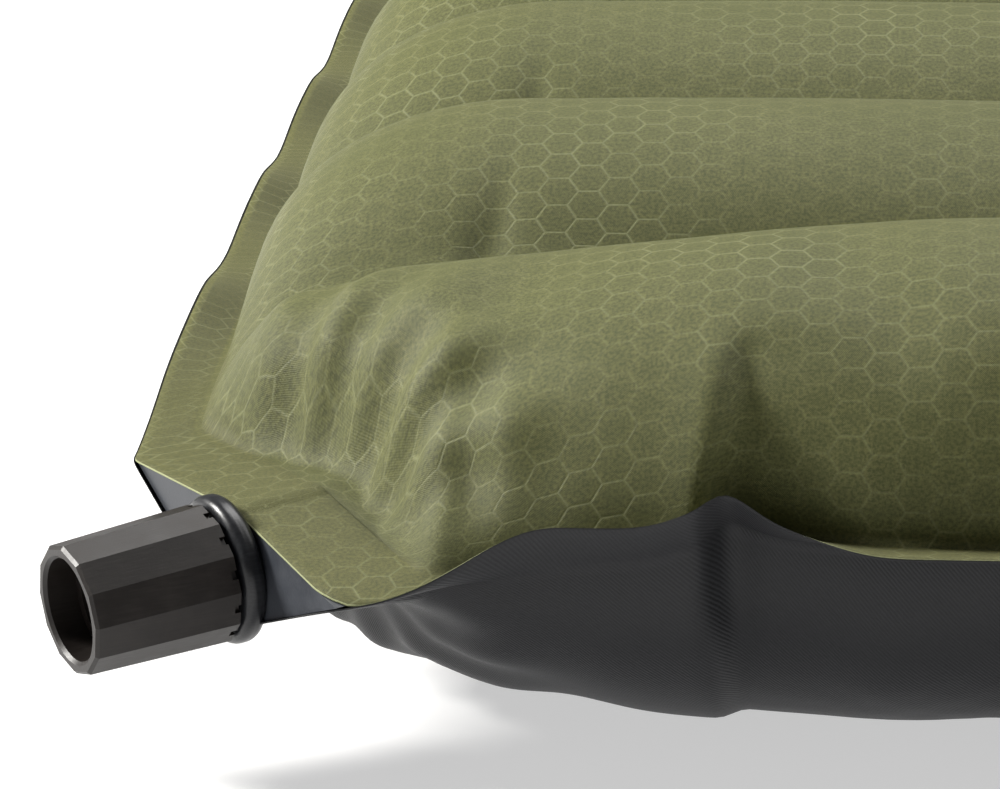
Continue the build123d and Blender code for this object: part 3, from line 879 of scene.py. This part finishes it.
def film_material():
    """Pale translucent-looking film of the walls."""
    material, nodes, shader = new_material("wall_film")
    place = nodes.add("TexCoord").outputs["Object"]
    cloudy = nodes.noise(place, 60.0, 4.0)
    tone = nodes.mix(cloudy, (0.42, 0.43, 0.44, 1), (0.62, 0.63, 0.64, 1))
    rough = nodes.ramp(cloudy, 0.3, 0.7, 0.25, 0.4)
    finish(nodes, shader, tone, rough, nodes.noise(place, 300.0), 0.05 * MM)
    return material


def lining_material():
    """White fibre fleece."""
    material, nodes, shader = new_material("fibre_fleece")
    place = nodes.add("TexCoord").outputs["Object"]
    fibre = nodes.noise(nodes.vector("MULTIPLY", place, (1.0, 3.0, 3.0)), 420.0, 5.0, 0.7)
    tone = nodes.mix(fibre, (0.6, 0.6, 0.58, 1), (0.82, 0.82, 0.8, 1))
    finish(nodes, shader, tone, nodes.ramp(fibre, 0.3, 0.7, 0.85, 1.0), fibre, 0.6 * MM)
    return material


def moulded_plastic(name, colour, worn, rough, grain=2400.0, depth=0.02):
    """Moulded plastic with grain, faint drag marks and a little wear."""
    material, nodes, shader = new_material(name)
    place = nodes.add("TexCoord").outputs["Object"]
    mould = use_group(nodes, moulded_group(), Place=place, Grain=grain)
    tone = nodes.mix(nodes.ramp(mould["Wear"], 0.45, 0.75), (*colour, 1), (*worn, 1))
    rough = nodes.ramp(mould["Wear"], 0.3, 0.75, rough, rough + 0.14)
    finish(nodes, shader, tone, rough, mould["Height"], depth * MM)
    shader.inputs["Specular IOR Level"].default_value = 0.3
    return material


# ---- studio

def area_light(name, place, aim, size, power, colour):
    """Adds a soft square light that looks at a point."""
    light = bpy.data.lights.new(name, "AREA")
    light.size, light.energy, light.color = size, power, colour
    lamp = linked(name, light)
    lamp.location = place
    lamp.rotation_euler = (Vector(aim) - Vector(place)).to_track_quat("-Z", "Y").to_euler()


def put_camera(stage):
    """Close camera, low over the valve's corner."""
    lift, turn = math.radians(stage.elevation), math.radians(stage.azimuth)
    ahead = Vector((-math.sin(turn) * math.cos(lift), math.cos(turn) * math.cos(lift), -math.sin(lift)))
    data = bpy.data.cameras.new("camera")
    camera = linked("camera", data)
    camera.location = Vector(stage.aim) - ahead * stage.distance
    camera.rotation_euler = ahead.to_track_quat("-Z", "Y").to_euler()
    data.sensor_width = 36
    data.lens = stage.lens
    data.clip_start = 0.01
    bpy.context.scene.camera = camera


# ---- what a user can change

class PadSettings(bpy.types.PropertyGroup):
    """Sizes that decide how the fabric is cut, tied and blown up."""
    tube_count: IntProperty(name="Tubes", description="Lengthwise air tubes", default=7, min=4)
    web_height: FloatProperty(
        name="Web height", description="Between a wall's two ends", default=0.0238, unit="LENGTH")
    web_start: FloatProperty(
        name="Web start", description="From the weld to the first tie", default=0.018, unit="LENGTH")
    web_rise: FloatProperty(
        name="Web rise", description="A wall reaches its height in this", default=0.055, unit="LENGTH")
    spare_length: FloatProperty(
        name="Spare length", description="Cut beyond the inflated length", default=0.024, unit="LENGTH")
    end_taper: FloatProperty(
        name="End taper", description="The start shape rounds down in this", default=0.045, unit="LENGTH")
    pucker_place: FloatProperty(
        name="Pucker", description="From the end to the deep side pucker", default=0.0872, unit="LENGTH")
    pressure: FloatProperty(name="Pressure", description="Air in the cloth solver", default=4.0)
    frames: IntProperty(name="Frames", description="Steps of the cloth solver", default=14, min=2)


class FabricSettings(bpy.types.PropertyGroup):
    """Colours and pattern of the two fabrics, with the painted sheen on the top's honeycomb lines."""
    top_colour: FloatVectorProperty(
        name="Top", description="Lit olive", subtype="COLOR", default=(0.128, 0.129, 0.045))
    top_shade: FloatVectorProperty(
        name="Top shade", description="Olive between the lines", subtype="COLOR",
        default=(0.067, 0.075, 0.022))
    # painted sheen: this lighter colour of the raised lines stands in for the sheen they catch; the green cut
    # edge reuses it
    line_sheen_colour: FloatVectorProperty(
        name="Lines", description="Raised honeycomb lines", subtype="COLOR", default=(0.225, 0.24, 0.12))
    weld_tint: FloatVectorProperty(
        name="Weld tint", description="Welded fabric", subtype="COLOR", default=(0.088, 0.08, 0.024))
    # how strongly the painted sheen colour is laid on the lines
    line_sheen_strength: FloatProperty(
        name="Line strength", description="How much the lines show", default=0.42, subtype="FACTOR")
    comb_side: FloatProperty(
        name="Honeycomb side", description="Side of one cell", default=0.00315, unit="LENGTH")
    comb_line: FloatProperty(
        name="Honeycomb line", description="Half width of a line", default=0.0003, unit="LENGTH")
    bottom_colour: FloatVectorProperty(
        name="Bottom", description="Charcoal", subtype="COLOR", default=(0.0098, 0.0100, 0.0112))


class ValveSettings(bpy.types.PropertyGroup):
    """Colours of the valve."""
    cap_colour: FloatVectorProperty(
        name="Cap", description="Moulded cap", subtype="COLOR", default=(0.0095, 0.0072, 0.006))
    cap_worn: FloatVectorProperty(
        name="Cap worn", description="Handled parts", subtype="COLOR", default=(0.019, 0.0152, 0.0132))
    housing_colour: FloatVectorProperty(
        name="Housing", description="Collar and neck", subtype="COLOR", default=(0.0085, 0.0088, 0.0105))
    boat_colour: FloatVectorProperty(
        name="Boat", description="Weld boat", subtype="COLOR", default=(0.03, 0.033, 0.04))


class StageSettings(bpy.types.PropertyGroup):
    """Where the camera stands and how strong the lights are."""
    aim: FloatVectorProperty(
        name="Aim", description="Middle of the view", subtype="XYZ", default=(-0.8582, -0.190, 0.0396))
    azimuth: FloatProperty(name="Azimuth", description="Turn of the view, in degrees", default=5.0)
    elevation: FloatProperty(name="Elevation", description="Height of the view, in degrees", default=16.6)
    distance: FloatProperty(
        name="Distance", description="From the aim to the camera", default=0.8, unit="LENGTH")
    lens: FloatProperty(name="Lens", description="Focal length in millimetres", default=193.0)
    light: FloatProperty(name="Light", description="Strength of all the lights", default=1.0)


# ---- operators

class PAD_OT_stage(bpy.types.Operator):
    """Set up the pale floor, the soft lights and the camera"""
    bl_idname = "pad.stage"
    bl_label = "Studio"

    def execute(self, context):
        stage = context.scene.stage_settings
        material, _, shader = new_material("floor_paint")
        shader.inputs["Base Color"].default_value = (FLOOR_TONE, FLOOR_TONE, FLOOR_TONE, 1)
        shader.inputs["Roughness"].default_value = 0.9
        shader.inputs["Emission Color"].default_value = (1.0, 1.0, 1.0, 1)
        shader.inputs["Emission Strength"].default_value = FLOOR_GLOW
        mesh = bmesh.new()
        bmesh.ops.create_grid(mesh, x_segments=1, y_segments=1, size=FLOOR_HALF)
        new_piece("floor", mesh, material, soft=False)
        world = bpy.data.worlds.new("studio")
        context.scene.world = world
        world.use_nodes = True
        background = world.node_tree.nodes["Background"]
        background.inputs["Color"].default_value = (1.0, 1.0, 1.0, 1)
        background.inputs["Strength"].default_value = WORLD_GLOW * stage.light
        for name, place, size, power, colour in LIGHTS:
            area_light(name, place, tuple(stage.aim), size, power * stage.light, colour)
        put_camera(stage)
        context.scene.view_settings.view_transform = "Standard"
        return {"FINISHED"}


class PAD_OT_inflate(bpy.types.Operator):
    """Blow up the welded fabric and make its two sheets"""
    bl_idname = "pad.inflate"
    bl_label = "Top and bottom fabric"

    def execute(self, context):
        pad, fabric = context.scene.pad_settings, context.scene.fabric_settings
        lay = Layout(pad)
        both = inflate(lay, pad)
        both[..., 2] -= max(0.0, float(both[..., 2].min()))
        both = sculpt(lay, both, pad)
        SHEETS.update(layout=lay, points=both)
        rims = rim_points(lay, both, pad)
        grey = tuple(c * 0.7 for c in fabric.bottom_colour)
        green_edge = cut_edge("green_cut_edge", fabric.line_sheen_colour, 1.25)
        grey_edge = cut_edge("grey_cut_edge", grey, 2.0)
        for sheet, (name, side, overhang, cloth, edge) in enumerate((
            ("top", 1, 0.0, top_fabric(fabric), green_edge),
            ("bottom", -1, LOW_OVERHANG, bottom_fabric(fabric), grey_edge),
        )):
            piece = make_sheet(f"{name}_sheet", lay, both[sheet], rims[sheet], side, cloth, edge, overhang)
            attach(piece, "pad")
            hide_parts(f"{name}_skin")
        return {"FINISHED"}


def made_sheets():
    """The layout and the inflated points, for the inner pieces."""
    if not SHEETS:
        raise RuntimeError("The top and bottom fabric have to be made first")
    return SHEETS["layout"], SHEETS["points"]


class PAD_OT_walls(bpy.types.Operator):
    """Make the film walls between the tubes"""
    bl_idname = "pad.walls"
    bl_label = "Walls"

    def execute(self, context):
        lay, both = made_sheets()
        film = film_material()
        for number, column in enumerate(lay.valleys, 1):
            wall = make_wall(f"wall_{number}", lay, both, column, film)
            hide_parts(f"baffle_web_{number}")
        return {"FINISHED"}


class PAD_OT_fleece(bpy.types.Operator):
    """Line the tubes with insulation"""
    bl_idname = "pad.fleece"
    bl_label = "Insulation"

    def execute(self, context):
        lay, both = made_sheets()
        fleece = lining_material()
        for tube in range(len(lay.valleys) + 1):
            lining = make_lining(f"fleece_{tube + 1}", lay, both, tube, fleece)
            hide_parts(f"insulation_{tube + 1}")
        return {"FINISHED"}


class PAD_OT_valve(bpy.types.Operator):
    """Give the valve's mouldings and seals their finish"""
    bl_idname = "pad.valve"
    bl_label = "Valve"

    def execute(self, context):
        valve = context.scene.valve_settings
        cap = moulded_plastic("cap_moulding", valve.cap_colour, valve.cap_worn, 0.36)
        housing = moulded_plastic(
            "housing_moulding", valve.housing_colour, (0.026, 0.0275, 0.031), 0.26, 1500.0)
        plug = moulded_plastic("plug_moulding", (0.06, 0.06, 0.062), (0.09, 0.09, 0.092), 0.4)
        rubber = moulded_plastic(
            "seal_rubber", (0.012, 0.012, 0.012), (0.03, 0.03, 0.03), 0.55, 3000.0, 0.01)
        for node, material in (
            ("valve_cap", cap), ("valve_housing", housing), ("stem_plug", plug), ("seat_ring", plug),
            ("barrel_seal", rubber), ("plug_seal", rubber),
        ):
            piece = bpy.data.objects[node]
            if not piece.material_slots:
                piece.data.materials.append(material)
            for slot in piece.material_slots:
                slot.material = material
        return {"FINISHED"}


class PAD_OT_boat(bpy.types.Operator):
    """Make the moulded boat that both sheets are welded to, with the neck through it"""
    bl_idname = "pad.boat"
    bl_label = "Weld boat"

    def execute(self, context):
        colour = context.scene.valve_settings.boat_colour
        boat = make_boat(moulded_plastic("boat_moulding", colour, (0.05, 0.054, 0.062), 0.34))
        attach(boat, "pad")
        return {"FINISHED"}


class PAD_PT_panel(bpy.types.Panel):
    """Lists the steps and the sizes in the 3D view's sidebar"""
    bl_idname = "PAD_PT_panel"
    bl_label = "Sleeping Pad"
    bl_space_type = "VIEW_3D"
    bl_region_type = "UI"
    bl_category = "Sleeping Pad"

    def draw(self, context):
        layout = self.layout
        for operator in OPERATORS:
            layout.operator(operator.bl_idname)
        for name in SETTINGS:
            group = getattr(context.scene, name)
            box = layout.box()
            for key in group.__annotations__:
                box.prop(group, key)


OPERATORS = (PAD_OT_stage, PAD_OT_inflate, PAD_OT_walls, PAD_OT_fleece, PAD_OT_valve, PAD_OT_boat)
SETTINGS = {
    "pad_settings": PadSettings, "fabric_settings": FabricSettings,
    "valve_settings": ValveSettings, "stage_settings": StageSettings,
}
CLASSES = tuple(SETTINGS.values()) + OPERATORS + (PAD_PT_panel,)


def register():
    for item in CLASSES:
        bpy.utils.register_class(item)
    for name, group in SETTINGS.items():
        setattr(bpy.types.Scene, name, PointerProperty(type=group))


def unregister():
    for name in SETTINGS:
        delattr(bpy.types.Scene, name)
    for item in reversed(CLASSES):
        bpy.utils.unregister_class(item)


def main():
    """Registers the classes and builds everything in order."""
    register()
    bpy.ops.pad.stage()
    bpy.ops.pad.inflate()
    bpy.ops.pad.walls()
    bpy.ops.pad.fleece()
    bpy.ops.pad.valve()
    bpy.ops.pad.boat()


if __name__ == "__main__":
    main()
